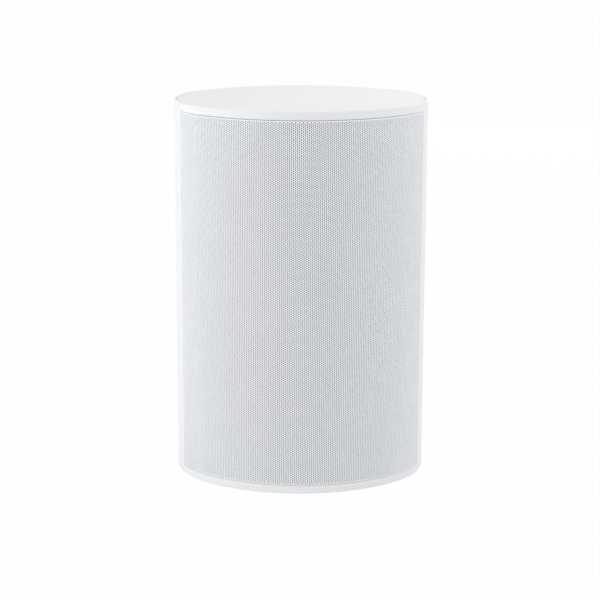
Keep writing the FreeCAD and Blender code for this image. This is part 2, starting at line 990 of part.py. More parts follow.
def tweeter_magnet():
    inner, _ = tweeter_coil_radii()
    front = tweeter_air + tweeter_pole
    radius = inner - 2 * magnet_gap
    return rod(radius, 0, tweeter_z, driver_face + front, driver_face + front + tweeter_magnet_thick)


def tweeter_yoke():
    front = 2 * bond + dome_sheet
    floor_front = tweeter_air + tweeter_pole + tweeter_magnet_thick
    inner = cup_outer - tweeter_cup_wall
    outline = [
        (inner, front),
        (cup_outer, front),
        (cup_outer, floor_front + tweeter_pole),
        (0, floor_front + tweeter_pole),
        (0, floor_front),
        (inner, floor_front),
    ]
    return turned(outline, driver_face, tweeter_z)


def tweeter_screws():
    return driver_screws(tweeter_screw_places(), tweeter_plate)


# Bass-reflex port and bracket insert

def reflex_port():
    """A tube with a flared mouth trimmed to the oval, and a flange that seats inside the back wall."""
    outer = port_bore + port_wall
    inner_end = half_depth - port_length
    sleeve = rod(port_mouth, 0, port_z, half_depth - wall - 2 * port_wall, half_depth)
    pipe = rod(outer, 0, port_z, inner_end, half_depth)
    flange = rod(port_mouth + port_flange, 0, port_z, 0, half_depth)
    flange = flange.common(oval_ring(wall + bond, wall + bond + port_wall, 0, height))
    flange = flange.common(box(-half_width, half_width, 0, half_depth, 0, height))
    body = joined(sleeve, pipe, flange).common(oval(0, 0, height))
    lip = port_flare - port_wall / 2
    turn = (1 - math.sqrt(0.5)) * lip
    bore = turned(
        [
            (0, inner_end - over),
            (port_bore, inner_end - over),
            (port_bore, half_depth - lip),
            ((port_bore + turn, half_depth - turn), (port_bore + lip, half_depth)),
            (port_bore + lip, half_depth + over),
            (0, half_depth + over),
        ],
        0, port_z,
    )
    return body.cut(bore)


def bracket_insert():
    """A brass bush with a groove round it, moulded into the boss."""
    back = half_depth - insert_inset
    bush = tube(insert_outer, insert_bore, 0, insert_z, back - insert_length, back)
    middle = back - insert_length / 2
    groove = tube(
        insert_outer + over, insert_outer - groove_depth, 0, insert_z,
        middle - groove_depth, middle + groove_depth,
    )
    return bush.cut(groove)


# Rear panel, its sockets and keys

def panel_screw_places():
    return [(side * panel_screw_x, z) for side in (-1, 1) for z in panel_screw_heights]


def rear_panel():
    """A flat plate with cut-outs for keys and sockets, and four posts for the amplifier board."""
    middle = (panel_bottom + panel_top) / 2
    plate = rounded(0, middle, panel_width, panel_height, panel_corner, panel_back, panel_face)
    posts = [rod(standoff_radius, x, z, board_back, panel_back) for x, z in board_holes]
    plate = joined(plate, *posts)
    outside = panel_face + over
    spaces = [
        rounded(
            x, key_z, key_width + 2 * clear, key_height + 2 * clear, key_corner + clear,
            panel_back - over, outside,
        )
        for x in key_places.values()
    ]
    inlet_w, inlet_h = inlet_width + 2 * inlet_wall, inlet_height + 2 * inlet_wall
    spaces += [
        rounded(0, inlet_z, inlet_w + 2 * slip, inlet_h + 2 * slip, inlet_wall, panel_back - over, outside),
        rounded(
            -socket_side, socket_z, network_width + 2 * slip, network_height + 2 * slip, slip,
            panel_back - over, outside,
        ),
        rod(jack_nose + slip, socket_side, socket_z, panel_back - over, outside),
    ]
    spaces += [
        rod(small_screw_radius + slip, x, z, panel_back - over, outside) for x, z in panel_screw_places()
    ]
    spaces += [
        rod(small_screw_radius + bond, x, z, board_back - over, panel_back - over) for x, z in board_holes
    ]
    return plate.cut(spaces)


def rear_panel_gasket():
    outer = box(
        -panel_width / 2, panel_width / 2, seat_front, panel_back, panel_bottom, panel_top
    )
    inner = box(
        -seat_half, seat_half, seat_front, panel_back,
        panel_bottom - clear + seat_width, panel_top + clear - seat_width,
    )
    holes = [
        rod(small_screw_radius + slip, x, z, seat_front - over, panel_back + over)
        for x, z in panel_screw_places()
    ]
    return outer.cut([inner] + holes)


def rear_panel_screws():
    length = panel_face - seat_back + seat_thick
    places = panel_screw_places()
    return group(
        screw(x, z, panel_face, length, -1, small_screw_radius, small_head_radius) for x, z in places
    )


def key(x):
    """A cap through the panel, a flange that keeps it there and a stem to its switch."""
    cap = rounded(x, key_z, key_width, key_height, key_corner, panel_back - clear, panel_face + key_proud)
    flange_back = panel_back - clear
    flange = rounded(
        x, key_z, key_width + 2 * key_flange, key_height + 2 * key_flange, key_corner,
        flange_back - key_flange, flange_back,
    )
    stem_end = board_back + switch_height + plunger_height + key_travel + clear
    stem = rod(stem_radius, x, key_z, stem_end, flange_back)
    return joined(cap, flange, stem)


def key_switches():
    def switch(x):
        body = rounded(
            x, key_z, switch_size, switch_size, edge_round, board_back, board_back + switch_height
        )
        top = board_back + switch_height
        plunger = rod(stem_radius, x, key_z, top, top + plunger_height)
        return joined(body, plunger)

    return group(switch(x) for x in key_places.values())


def contact_places():
    return [(side * contact_pitch / 2, inlet_z) for side in (-1, 1)]


def mains_inlet():
    """A two-pole inlet: a lip outside the panel, a body behind it and a deep cavity with round ends."""
    body_w, body_h = inlet_width + 2 * inlet_wall, inlet_height + 2 * inlet_wall
    mouth = panel_face + inlet_lip_thick
    body = rounded(0, inlet_z, body_w, body_h, inlet_wall, inlet_inner, panel_face)
    lip = rounded(
        0, inlet_z, body_w + 2 * inlet_lip, body_h + 2 * inlet_lip, inlet_wall + inlet_lip, panel_face, mouth
    )
    cavity = rounded(
        0, inlet_z, inlet_width, inlet_height, inlet_height / 2 - bond, mouth - inlet_depth, mouth + over
    )
    holes = [
        rod(contact_radius + bond, x, z, inlet_inner - over, mouth) for x, z in contact_places()
    ]
    return joined(body, lip).cut([cavity] + holes)


def mains_contacts():
    """Two round pins that end just inside the cavity's mouth and stand out behind as tags."""
    tip = panel_face - contact_inset
    back = inlet_inner - contact_tag
    pins = []
    for x, z in contact_places():
        pin = rod(contact_radius, x, z, back, tip)
        pins.append(pin.makeChamfer(contact_radius / 3, [pin.Edges[0]]))
    return group(pins)


def network_socket():
    """A square socket with a notch for the plug's latch."""
    x, front = -socket_side, panel_face + slip
    body = rounded(x, socket_z, network_width, network_height, bond, board_back, front)
    half_w, half_h = network_mouth_width / 2, network_mouth_height / 2
    floor_y = board_back + network_wall
    mouth = box(x - half_w, x + half_w, floor_y, front + over, socket_z - half_h, socket_z + half_h)
    notch = box(
        x - network_latch, x + network_latch, floor_y, front + over,
        socket_z - network_height / 2 + network_wall, socket_z - half_h,
    )
    return body.cut([mouth, notch])


def aux_jack():
    """A small body on the board with a round nose through the panel."""
    front = panel_face + clear
    body = rounded(
        socket_side, socket_z, jack_body_width, jack_body_height, edge_round, board_back, panel_back - clear
    )
    nose = rod(jack_nose, socket_side, socket_z, panel_back - over, front)
    bore = rod(jack_bore, socket_side, socket_z, front - jack_bore_depth, front + over)
    return joined(body, nose).cut(bore)


# Boards and what they carry

def amplifier_board():
    plate = box(-board_half, board_half, board_front, board_back, board_bottom, board_top)
    return plate.cut(
        [rod(small_screw_radius + slip, x, z, board_front - over, board_back + over) for x, z in board_holes]
    )


def board_screws():
    length = board_thick + standoff - 2 * over
    solids = [
        screw(x, z, board_front, length, 1, small_screw_radius, small_head_radius) for x, z in board_holes
    ]
    length = power_post + board_thick - over
    for x, y in power_holes:
        upright = screw(0, 0, 0, length, 1, small_screw_radius, small_head_radius)
        upright.rotate(vector(0, 0, 0), vector(1, 0, 0), -90)
        upright.translate(vector(x, y, power_z + board_thick))
        solids.append(upright)
    return group(solids)


def heat_sink():
    """A comb of fins standing on the board's front."""
    top = board_top - 2 * board_hole_edge - small_head_radius
    bottom = top - sink_height
    base = box(-parts_half, parts_half, board_front - sink_base, board_front, bottom, top)
    pitch = (2 * parts_half - fin_thick) / (sink_fins - 1)
    fins = []
    for i in range(sink_fins):
        x = -parts_half + i * pitch
        fins.append(box(x, x + fin_thick, board_front - part_tall, board_front - sink_base, bottom, top))
    return joined(base, *fins)


def low_parts_z():
    """The height of the row of parts along the bottom of the amplifier board."""
    return board_bottom + 2 * board_hole_edge + module_height / 2


def wireless_module():
    """A small daughter board under a pressed can, with its aerial end left open."""
    x0, x1 = -parts_half, -clear
    z0, z1 = low_parts_z() - module_height / 2, low_parts_z() + module_height / 2
    plate = box(x0, x1, board_front - module_thick, board_front, z0, z1)
    can = box(
        x0 + can_margin, x1 - can_margin, board_front - module_thick - can_thick, board_front - module_thick,
        z0 + 3 * can_margin, z1 - can_margin,
    )
    return joined(plate, can)


def filter_capacitors():
    pitch = 2 * capacitor_radius + parts_apart
    x = board_half - board_hole_edge - capacitor_radius
    solids = []
    for i in (-1, 1):
        can = rod(capacitor_radius, x, low_parts_z() + i * pitch / 2, board_front - part_tall, board_front)
        solids.append(can.makeFillet(edge_round, [can.Edges[2]]))
    return group(solids)


def filter_inductors():
    x = parts_apart + inductor_size / 2
    pitch = inductor_size + parts_apart
    return group(
        rounded(
            x, low_parts_z() + i * pitch / 2, inductor_size - 2 * parts_apart, inductor_size, edge_round,
            board_front - inductor_tall, board_front,
        )
        for i in (-1, 1)
    )


def power_board():
    plate = box(-power_width / 2, power_width / 2, power_y0, power_y1, power_z, power_z + board_thick)
    return plate.cut(
        [
            post(small_screw_radius + slip, x, y, power_z - over, power_z + board_thick + over)
            for x, y in power_holes
        ]
    )


def transformer():
    """A ferrite core round a taped winding on a bobbin with flanges."""
    top = power_z + board_thick
    x0 = -power_width / 2 + 2 * board_hole_edge
    x1 = x0 + transformer_width
    y1 = power_y1 - board_hole_edge
    y0 = y1 - transformer_depth
    core = box(x0, x1, y0 + core_leg, y1 - core_leg, top, top + transformer_tall)
    coil = rounded(
        (x0 + x1) / 2, top + transformer_tall / 2, transformer_width - 2 * core_leg,
        transformer_tall - 2 * core_leg, edge_round, y0, y1,
    )
    foot_plate = box(x0 + core_leg, x1 - core_leg, y0, y1, top, top + core_leg)
    return joined(core, coil, foot_plate)


def mains_capacitor():
    x = power_width / 2 - 3 * board_hole_edge - mains_capacitor_radius
    y = power_y1 - board_hole_edge - mains_capacitor_radius
    top = power_z + board_thick
    can = post(mains_capacitor_radius, x, y, top, top + mains_capacitor_tall)
    return can.makeFillet(edge_round, [can.Edges[0]])


# Damping pads

def damping_pads():
    """Felt along both ends of the oval, above the panel and behind the baffle's ledge."""
    front = ledge_front + ledge_thick + pad_front
    mat = oval_ring(wall + clear, wall + clear + pad_thick, panel_top, cover_under - skirt_drop - pad_front)
    return group(
        mat.common(box(near, far, front, pad_back, 0, height))
        for near, far in ((-half_width, -end_centre), (end_centre, half_width))
    )


# Wires inside, each a pair of straight runs and wide bends

def mains_wires():
    """From the inlet's tags down to the power board."""
    tag = inlet_inner - contact_tag
    bend = (tag + woofer_back) / 2
    return group(
        wire_run([(x, tag, z), (x, bend, z), (x, bend, power_z + board_thick)], wire_radius)
        for x, z in contact_places()
    )


def power_wires():
    """From the power board up to the foot of the amplifier board."""
    beside_inlet = inlet_width / 2 + inlet_wall
    y = (inlet_inner + woofer_back) / 2
    z = board_bottom + wire_pitch
    return group(
        wire_run([(x, y, power_z + board_thick), (x, y, z), (x, board_front, z)], wire_radius)
        for x in (beside_inlet, beside_inlet + wire_pitch)
    )


def woofer_wires():
    """From the amplifier board round the magnet to the basket's tags."""
    x = -board_half + wire_pitch
    beside = -magnet_radius - wire_pitch
    path = ((x, board_front), (x, board_front - part_tall), (beside, woofer_back), (beside, tag_back))
    return group(
        wire_run([(across, deep, z) for across, deep in path], wire_radius)
        for z in (woofer_z - wire_pitch / 2, woofer_z + wire_pitch / 2)
    )


def tweeter_wires():
    """From the amplifier board up and forward to the tweeter's magnet cup."""
    x = board_half - wire_pitch + wire_radius
    cup_back = driver_face + tweeter_air + 2 * tweeter_pole + tweeter_magnet_thick
    pairs = ((0.0, dome_radius / 3), (wire_pitch, dome_radius / 3 + wire_pitch))
    return group(
        wire_run(
            [
                (x, board_front, key_z + lift),
                (x, board_front - part_tall, key_z + lift),
                (x, woofer_back, insert_z + lift),
                (end, cup_back + inner_bend, tweeter_z),
                (end, cup_back, tweeter_z),
            ],
            wire_radius,
        )
        for lift, end in pairs
    )


PARTS = {
    "cabinet": cabinet,
    "top_cover": top_cover,
    "front_grille": front_grille,
    "grille_frame": grille_frame,
    "grille_cloth": grille_cloth,
    "grille_grommets": grille_grommets,
    "baffle": baffle,
    "baffle_gasket": baffle_gasket,
    "baffle_screws": baffle_screws,
    "woofer_basket": woofer_basket,
    "woofer_gasket": woofer_gasket,
    "woofer_surround": woofer_surround,
    "woofer_cone": woofer_cone,
    "woofer_dust_cap": woofer_dust_cap,
    "woofer_spider": woofer_spider,
    "woofer_voice_coil": woofer_voice_coil,
    "woofer_top_plate": woofer_top_plate,
    "woofer_magnet": woofer_magnet,
    "woofer_yoke": woofer_yoke,
    "woofer_screws": woofer_screws,
    "tweeter_faceplate": tweeter_faceplate,
    "tweeter_gasket": tweeter_gasket,
    "tweeter_dome": tweeter_dome,
    "tweeter_voice_coil": tweeter_voice_coil,
    "tweeter_pole_disc": tweeter_pole_disc,
    "tweeter_magnet": tweeter_magnet,
    "tweeter_yoke": tweeter_yoke,
    "tweeter_screws": tweeter_screws,
    "reflex_port": reflex_port,
    "bracket_insert": bracket_insert,
    "rear_panel": rear_panel,
    "rear_panel_gasket": rear_panel_gasket,
    "rear_panel_screws": rear_panel_screws,
    "key_switches": key_switches,
    "mains_inlet": mains_inlet,
    "mains_contacts": mains_contacts,
    "network_socket": network_socket,
    "aux_jack": aux_jack,
    "amplifier_board": amplifier_board,
    "board_screws": board_screws,
    "heat_sink": heat_sink,
    "wireless_module": wireless_module,
    "filter_capacitors": filter_capacitors,
    "filter_inductors": filter_inductors,
    "power_board": power_board,
    "transformer": transformer,
    "mains_capacitor": mains_capacitor,
    "mains_wires": mains_wires,
    "power_wires": power_wires,
    "woofer_wires": woofer_wires,
    "tweeter_wires": tweeter_wires,
    "damping_pads": damping_pads,
}


def main():
    os.makedirs("parts", exist_ok=True)
    shapes = {name: make() for name, make in PARTS.items()}
    shapes |= {name: key(x) for name, x in key_places.items()}
    shapes |= {name: foot(x, y) for name, (x, y) in foot_places.items()}
    for name, shape in shapes.items():
        shape.exportStep(f"parts/{name}.step")


main()
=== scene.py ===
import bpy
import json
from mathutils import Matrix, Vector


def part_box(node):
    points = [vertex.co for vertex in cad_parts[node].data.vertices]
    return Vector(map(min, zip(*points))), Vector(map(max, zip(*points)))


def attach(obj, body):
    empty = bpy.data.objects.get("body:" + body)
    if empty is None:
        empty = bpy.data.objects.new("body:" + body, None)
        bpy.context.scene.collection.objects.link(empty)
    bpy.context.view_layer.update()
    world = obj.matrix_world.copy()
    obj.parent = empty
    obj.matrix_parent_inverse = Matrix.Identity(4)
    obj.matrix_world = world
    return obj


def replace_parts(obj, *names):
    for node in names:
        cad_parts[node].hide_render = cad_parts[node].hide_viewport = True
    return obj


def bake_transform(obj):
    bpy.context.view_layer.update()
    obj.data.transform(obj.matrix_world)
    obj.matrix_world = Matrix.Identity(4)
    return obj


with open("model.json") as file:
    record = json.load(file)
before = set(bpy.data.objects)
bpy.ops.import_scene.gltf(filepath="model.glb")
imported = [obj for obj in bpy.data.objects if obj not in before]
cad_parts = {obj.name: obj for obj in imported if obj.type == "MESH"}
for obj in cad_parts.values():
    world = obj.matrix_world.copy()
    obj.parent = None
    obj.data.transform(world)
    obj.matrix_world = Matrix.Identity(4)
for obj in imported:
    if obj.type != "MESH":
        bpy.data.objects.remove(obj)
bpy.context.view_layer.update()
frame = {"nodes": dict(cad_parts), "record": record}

import json
import math

import bmesh
import bpy
import numpy as np
from mathutils import Matrix, Vector

MM = 0.001
CREASE = math.radians(40.0)
WELD_REACH = 1e-7
nodes = frame["nodes"]

# The cabinet's oval: two round ends joined by a flatter front and back (lengths in mm, as below)
SIDE_RADIUS = 45.0
END_CENTRE = 21.0
HALF_DEPTH = 53.0
FACE_RADIUS = (END_CENTRE**2 + HALF_DEPTH**2 - SIDE_RADIUS**2) / (2 * (HALF_DEPTH - SIDE_RADIUS))
FACE_CENTRE = FACE_RADIUS - HALF_DEPTH
ARC_JOIN = math.atan2(END_CENTRE, FACE_CENTRE)

# The perforated sheet
SHEET_INSET = 0.05
SHEET_THICK = 0.5
HEM_DEEP = 2.4
HEM_BEND = 0.3
HEM_STEPS = 4
HOLE_PITCH = 1.131
HOLE_SIZE = 0.65
HOLE_SIDES = 6
MAP_WALL = 0.5
SHEET_STRIPS = 4

# The woofer's suspension
SUSPENSION_SECTORS = 12

# The rear panel's screws
SCREW_HEAD = 2.2
SCREW_HEAD_TALL = 1.8
SCREW_SHANK = 1.2
SCREW_SIDES = 32
DOME_STEPS = 8
RECESS_ARM = 1.25
RECESS_HALF = 0.27
RECESS_FOOT_ARM = 0.55
RECESS_FOOT_HALF = 0.2
RECESS_DEEP = 1.1
RECESS_OVER = 0.2
RECESS_WELD = 1e-5

# The bracket's threaded bush
BUSH_GROOVE = 0.6
BUSH_EDGE = 0.3
BUSH_SIDES = 48
THREAD_MINOR = 2.55
THREAD_DEEP = 0.6
THREAD_PITCH = 1.27
THREAD_STEP = 0.1
THREAD_FLANK = 2.5
THREAD_HALF = 0.5

# The signs on the keys, with turns in degrees
SIGN_RAISED = 0.08
SIGN_SUNK = 0.05
POWER_RING = (0.95, 1.27)
POWER_RING_ENDS = (122, 418)
POWER_BAR_WIDE = 0.34
POWER_BAR_ENDS = (0.25, 1.5)
WAVE_DOT = 0.32
WAVE_RADII = (0.75, 1.4)
WAVE_WIDE = 0.3
WAVE_HALF_TURN = 50
WAVE_SHIFT = 0.8
VOLUME_ARM = 1.2
VOLUME_HALF = 0.19

# The network socket's contacts
CONTACT_COUNT = 8
CONTACT_PITCH = 1.02
CONTACT_HALF = 0.2
CONTACT_ROOF = 3.9
CONTACT_START = 2.2
CONTACT_BEND = 3.0
CONTACT_UNDERCUT = 0.1
CONTACT_THICK = 0.3
CONTACT_END = 1.6
CONTACT_TIP = 0.6
CONTACT_TIP_THICK = 0.25

# The floor and the light (lengths in m)
FLOOR_HALF = 4.0
FLOOR_SHARE = 0.98
FLOOR_TONE = 0.86
FLOOR_DRIFT = 0.99
WHITE = (1.0, 1.0, 1.0, 1.0)
ROOM_LEVEL = 0.45
LAMP_AIM = Vector((0.0, 0.0, 0.1))

# The camera, turned about the upright axis through the part's middle (lengths in m, the lens in mm)
CAMERA_REACH = 0.9542
CAMERA_HEIGHT = 0.3229
CAMERA_SIDE = math.radians(1.2)
CAMERA_PITCH = math.radians(13.622)
CAMERA_ROLL = math.radians(0.211)
CAMERA_PAN = math.radians(0.019)
CAMERA_LENS = 110.24


# Places read from the frame

def middle(node):
    """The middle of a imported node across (x) and up (z), and its back face (y), in mm."""
    low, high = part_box(node)
    return (low.x + high.x) / 2 / MM, (low.z + high.z) / 2 / MM, high.y / MM


def half_width(node):
    low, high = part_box(node)
    return (high.x - low.x) / 2 / MM


def corners_of(node):
    """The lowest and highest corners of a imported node, in mm."""
    return [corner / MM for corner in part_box(node)]


# Small helpers for shaders

def put(tree, kind, settings=None, **inputs):
    """Adds a node. An input that is a socket is linked, and anything else becomes its value."""
    node = tree.nodes.new("ShaderNode" + kind)
    for name, value in (settings or {}).items():
        setattr(node, name, value)
    for name, value in inputs.items():
        numbered = name.startswith("at") and name[2:].isdigit()
        socket = node.inputs[int(name[2:]) if numbered else name.replace("_", " ")]
        if isinstance(value, bpy.types.NodeSocket):
            tree.links.new(value, socket)
        else:
            socket.default_value = value
    return node


def maths(tree, operation, first, second=0.0):
    return put(tree, "Math", {"operation": operation}, at0=first, at1=second).outputs[0]


def between(tree, mask, low, high):
    """A colour that goes from low to high with the mask."""
    mixer = put(tree, "Mix", {"data_type": "RGBA"}, at0=mask, at6=(*low, 1.0), at7=(*high, 1.0))
    return mixer.outputs[2]


def spread(tree, mask, low, high):
    """A number that goes from low to high with the mask."""
    return put(tree, "MapRange", Value=mask, To_Min=low, To_Max=high).outputs[0]


def object_place(tree):
    return put(tree, "TexCoord").outputs["Object"]


def new_group(name, inputs, outputs):
    """A group with number inputs (label and first value) and number outputs."""
    tree = bpy.data.node_groups.new(name, "ShaderNodeTree")
    for label, value in inputs:
        socket = tree.interface.new_socket(label, in_out="INPUT", socket_type="NodeSocketFloat")
        socket.default_value = value
    for label in outputs:
        tree.interface.new_socket(label, in_out="OUTPUT", socket_type="NodeSocketFloat")
    return tree, tree.nodes.new("NodeGroupInput").outputs, tree.nodes.new("NodeGroupOutput").inputs


def place_group(tree, group, **inputs):
    node = tree.nodes.new("ShaderNodeGroup")
    node.node_tree = group
    for name, value in inputs.items():
        node.inputs[name.replace("_", " ")].default_value = value
    return node.outputs


# Effects that several finishes share

def make_moulded_grain():
    """Fine spark-eroded grain with a slow drift of tone, as moulded and coated faces have."""
    tree, given, made = new_group(
        "moulded_grain", [("Grain Size", 0.4), ("Drift Size", 60.0)], ["Height", "Drift", "Speck"]
    )
    place = object_place(tree)
    fine = maths(tree, "DIVIDE", 1.0 / MM, given["Grain Size"])
    slow = maths(tree, "DIVIDE", 1.0 / MM, given["Drift Size"])
    grain = put(tree, "TexNoise", Vector=place, Scale=fine, Detail=3.0, Roughness=0.6)
    drift = put(tree, "TexNoise", Vector=place, Scale=slow, Detail=2.0, Roughness=0.5)
    speck = put(tree, "MapRange", Value=grain.outputs[0], From_Min=0.35, From_Max=0.65)
    tree.links.new(grain.outputs[0], made["Height"])
    tree.links.new(drift.outputs[0], made["Drift"])
    tree.links.new(speck.outputs[0], made["Speck"])
    return tree


def make_woven_threads():
    """Over-and-under threads across the front, as stretched cloth and impregnated cotton have."""
    tree, given, made = new_group("woven_threads", [("Thread Pitch", 0.5)], ["Height", "Thread"])
    place = put(tree, "SeparateXYZ", Vector=object_place(tree)).outputs
    turn = maths(tree, "DIVIDE", 2.0 * math.pi / MM, given["Thread Pitch"])
    across = maths(tree, "SINE", maths(tree, "MULTIPLY", place["X"], turn))
    along = maths(tree, "SINE", maths(tree, "MULTIPLY", place["Z"], turn))
    both = maths(tree, "MULTIPLY", across, along)
    height = put(tree, "MapRange", Value=both, From_Min=-1.0, From_Max=1.0)
    thread = maths(tree, "ABSOLUTE", both)
    tree.links.new(height.outputs[0], made["Height"])
    tree.links.new(thread, made["Thread"])
    return tree


def make_turning_lines():
    """Rings left by a lathe tool round an axis that runs front to back."""
    tree, given, made = new_group(
        "turning_lines", [("Axis Height", 0.0), ("Line Pitch", 0.3)], ["Height", "Streak"]
    )
    place = put(tree, "SeparateXYZ", Vector=object_place(tree)).outputs
    above = maths(tree, "SUBTRACT", place["Z"], maths(tree, "MULTIPLY", given["Axis Height"], MM))
    flat = put(tree, "CombineXYZ", X=place["X"], Y=above)
    reach = put(tree, "VectorMath", {"operation": "LENGTH"}, at0=flat.outputs[0]).outputs["Value"]
    turn = maths(tree, "DIVIDE", 2.0 * math.pi / MM, given["Line Pitch"])
    wave = maths(tree, "SINE", maths(tree, "MULTIPLY", maths(tree, "ADD", reach, place["Y"]), turn))
    height = put(tree, "MapRange", Value=wave, From_Min=-1.0, From_Max=1.0).outputs[0]
    rings_per_metre = 900.0
    ring = put(tree, "CombineXYZ", X=maths(tree, "MULTIPLY", reach, rings_per_metre), Y=place["Y"])
    streak = put(tree, "TexNoise", Vector=ring.outputs[0], Scale=4.0, Detail=4.0)
    tree.links.new(height, made["Height"])
    tree.links.new(streak.outputs[0], made["Streak"])
    return tree


moulded_grain = make_moulded_grain()
woven_threads = make_woven_threads()
turning_lines = make_turning_lines()


# Finishes

def new_finish(name):
    material = bpy.data.materials.new(name)
    material.use_nodes = True
    tree = material.node_tree
    return material, tree, tree.nodes["Principled BSDF"]


def feed(tree, shader, socket, value):
    tree.links.new(value, shader.inputs[socket])


def bumped(tree, shader, height, depth):
    """Raises the surface by up to depth (mm) with the height."""
    bump = put(tree, "Bump", Height=height, Strength=1.0, Distance=depth * MM)
    feed(tree, shader, "Normal", bump.outputs[0])


def grained(name, low, high, rough, grain, depth, drift=60.0, specular=0.5, metal=0.0):
    """A moulded or coated finish: a slow drift between two tones under a fine grain."""
    material, tree, shader = new_finish(name)
    effect = place_group(tree, moulded_grain, Grain_Size=grain, Drift_Size=drift)
    feed(tree, shader, "Base Color", between(tree, effect["Drift"], low, high))
    feed(tree, shader, "Roughness", spread(tree, effect["Speck"], *rough))
    shader.inputs["Specular IOR Level"].default_value = specular
    shader.inputs["Metallic"].default_value = metal
    bumped(tree, shader, effect["Height"], depth)
    return material


def woven(name, low, high, pitch, depth):
    """Cloth whose tone, roughness and height follow its threads, under an even sheen."""
    material, tree, shader = new_finish(name)
    threads = place_group(tree, woven_threads, Thread_Pitch=pitch)
    feed(tree, shader, "Base Color", between(tree, threads["Thread"], low, high))
    feed(tree, shader, "Roughness", spread(tree, threads["Thread"], 0.95, 0.75))
    shader.inputs["Sheen Weight"].default_value = 0.3
    bumped(tree, shader, threads["Height"], depth)
    return material


def lathed(name, low, high, rough, axis_height, pitch, depth):
    """Bare metal with rings from turning or drawing."""
    material, tree, shader = new_finish(name)
    lines = place_group(tree, turning_lines, Axis_Height=axis_height, Line_Pitch=pitch)
    feed(tree, shader, "Base Color", between(tree, lines["Streak"], low, high))
    feed(tree, shader, "Roughness", spread(tree, lines["Streak"], *rough))
    shader.inputs["Metallic"].default_value = 1.0
    bumped(tree, shader, lines["Height"], depth)
    return material


def make_board_green():
    """Solder resist over a pattern of copper tracks."""
    material, tree, shader = new_finish("board_green")
    tracks = put(
        tree, "TexBrick", {"offset": 0.5}, Vector=object_place(tree), Scale=260.0,
        Color1=(0.012, 0.10, 0.045, 1.0), Color2=(0.016, 0.13, 0.06, 1.0),
        Mortar=(0.03, 0.20, 0.09, 1.0), Mortar_Size=0.04,
    )
    feed(tree, shader, "Base Color", tracks.outputs["Color"])
    feed(tree, shader, "Roughness", spread(tree, tracks.outputs["Fac"], 0.35, 0.25))
    bumped(tree, shader, tracks.outputs["Fac"], 0.03)
    return material


def make_felt():
    """Loose grey fibres of the damping pads."""
    material, tree, shader = new_finish("damping_felt")
    fibre = put(
        tree, "TexNoise", Vector=object_place(tree), Scale=900.0, Detail=8.0, Roughness=0.75, Distortion=1.5
    ).outputs[0]
    feed(tree, shader, "Base Color", between(tree, fibre, (0.42, 0.42, 0.40), (0.72, 0.72, 0.70)))
    feed(tree, shader, "Roughness", spread(tree, fibre, 1.0, 0.85))
    shader.inputs["Sheen Weight"].default_value = 0.4
    bumped(tree, shader, fibre, 0.6)
    return material


def make_winding():
    """Enamelled copper wire laid side by side along the axis."""
    material, tree, shader = new_finish("copper_turns")
    turns = put(
        tree, "TexWave", {"wave_type": "BANDS", "bands_direction": "Y"}, Vector=object_place(tree),
        Scale=800.0, Distortion=0.4,
    ).outputs["Fac"]
    feed(tree, shader, "Base Color", between(tree, turns, (0.32, 0.12, 0.04), (0.74, 0.36, 0.16)))
    feed(tree, shader, "Roughness", spread(tree, turns, 0.45, 0.28))
    shader.inputs["Metallic"].default_value = 1.0
    bumped(tree, shader, turns, 0.08)
    return material


